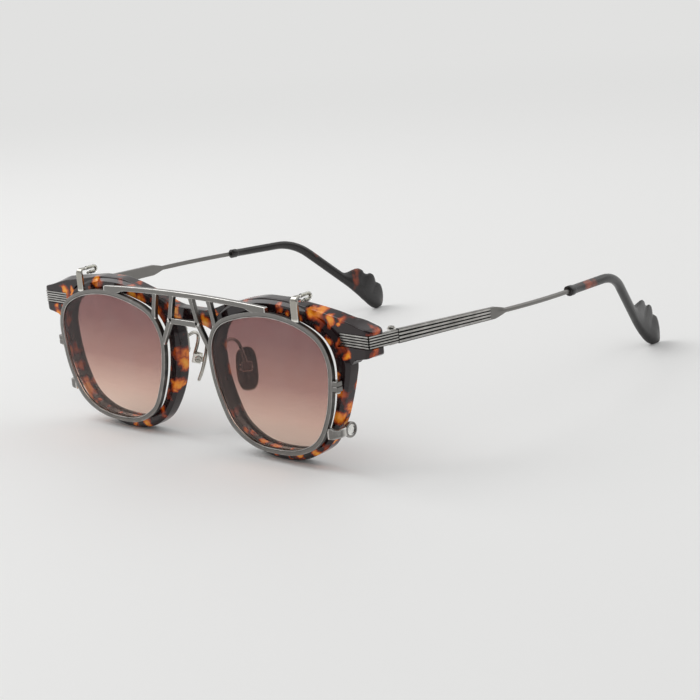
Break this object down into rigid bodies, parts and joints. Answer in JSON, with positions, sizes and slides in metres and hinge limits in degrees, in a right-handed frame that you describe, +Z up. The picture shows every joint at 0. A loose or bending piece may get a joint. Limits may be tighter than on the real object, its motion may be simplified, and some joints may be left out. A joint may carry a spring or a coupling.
{
  "type": "clip-on sunglasses",
  "caption": "Square acetate spectacles with ribbed metal hinged temples, rocking nose pads and a removable metal clip of tinted lenses.",
  "frame": {"origin": "on the table under the middle of the whole object", "axes": "+Z up, -Y the way the front faces, +X towards the wearer's left"},
  "size_m": [0.1552, 0.1626, 0.0518],
  "materials": {
    "tortoiseshell_acetate": "polished",
    "dark_acetate": "polished",
    "gunmetal": "satin",
    "bright_metal": "polished",
    "clear_lens": "polished",
    "tinted_lens": "polished",
    "clear_silicone": "satin"
  },
  "bodies": {
    "optical_front": {"front_frame": "tortoiseshell_acetate", "lens_left": "clear_lens", "lens_right": "clear_lens", "end_piece_left": "gunmetal", "end_piece_right": "gunmetal", "hinge_screw_left": "bright_metal", "hinge_screw_right": "bright_metal", "pad_arm_left": "bright_metal", "pad_arm_right": "bright_metal", "pad_rivet_upper_left": "bright_metal", "pad_rivet_upper_right": "bright_metal", "pad_rivet_lower_left": "bright_metal", "pad_rivet_lower_right": "bright_metal", "pad_screw_left": "bright_metal", "pad_screw_right": "bright_metal"},
    "left_temple": {"temple_left": "gunmetal", "temple_tip_left": "dark_acetate"},
    "right_temple": {"temple_right": "gunmetal", "temple_tip_right": "dark_acetate"},
    "left_pad": {"nose_pad_left": "bright_metal"},
    "right_pad": {"nose_pad_right": "bright_metal"},
    "sun_clip": {"clip_front": "gunmetal", "clip_lens_left": "tinted_lens", "clip_lens_right": "tinted_lens", "rim_screw_left": "bright_metal", "rim_screw_right": "bright_metal", "top_hook_left": "bright_metal", "top_hook_right": "bright_metal", "hook_sleeve_left": "clear_silicone", "hook_sleeve_right": "clear_silicone", "side_claw_left": "gunmetal", "side_claw_right": "gunmetal", "claw_pad_left": "clear_silicone", "claw_pad_right": "clear_silicone"}
  },
  "joints": [
    {"name": "temple_left_fold", "type": "hinge", "parent": "optical_front", "child": "left_temple", "pos_m": [0.06997, -0.06559, 0.03907], "axis": [0, 0, 1], "range_deg": [0, 90]},
    {"name": "temple_right_fold", "type": "hinge", "parent": "optical_front", "child": "right_temple", "pos_m": [-0.06997, -0.06559, 0.03907], "axis": [0, 0, -1], "range_deg": [0, 87]},
    {"name": "nose_pad_left_rock", "type": "hinge", "parent": "optical_front", "child": "left_pad", "pos_m": [0.0111, -0.06654, 0.0228], "axis": [0.6691, 0.7431, 0], "range_deg": [-10, 10]},
    {"name": "nose_pad_right_rock", "type": "hinge", "parent": "optical_front", "child": "right_pad", "pos_m": [-0.0111, -0.06654, 0.0228], "axis": [0.6691, -0.7431, 0], "range_deg": [-10, 10]},
    {"name": "sun_clip_off", "type": "slide", "parent": "optical_front", "child": "sun_clip", "axis": [0, -1, 0], "range_m": [0, 0.03]}
  ]
}
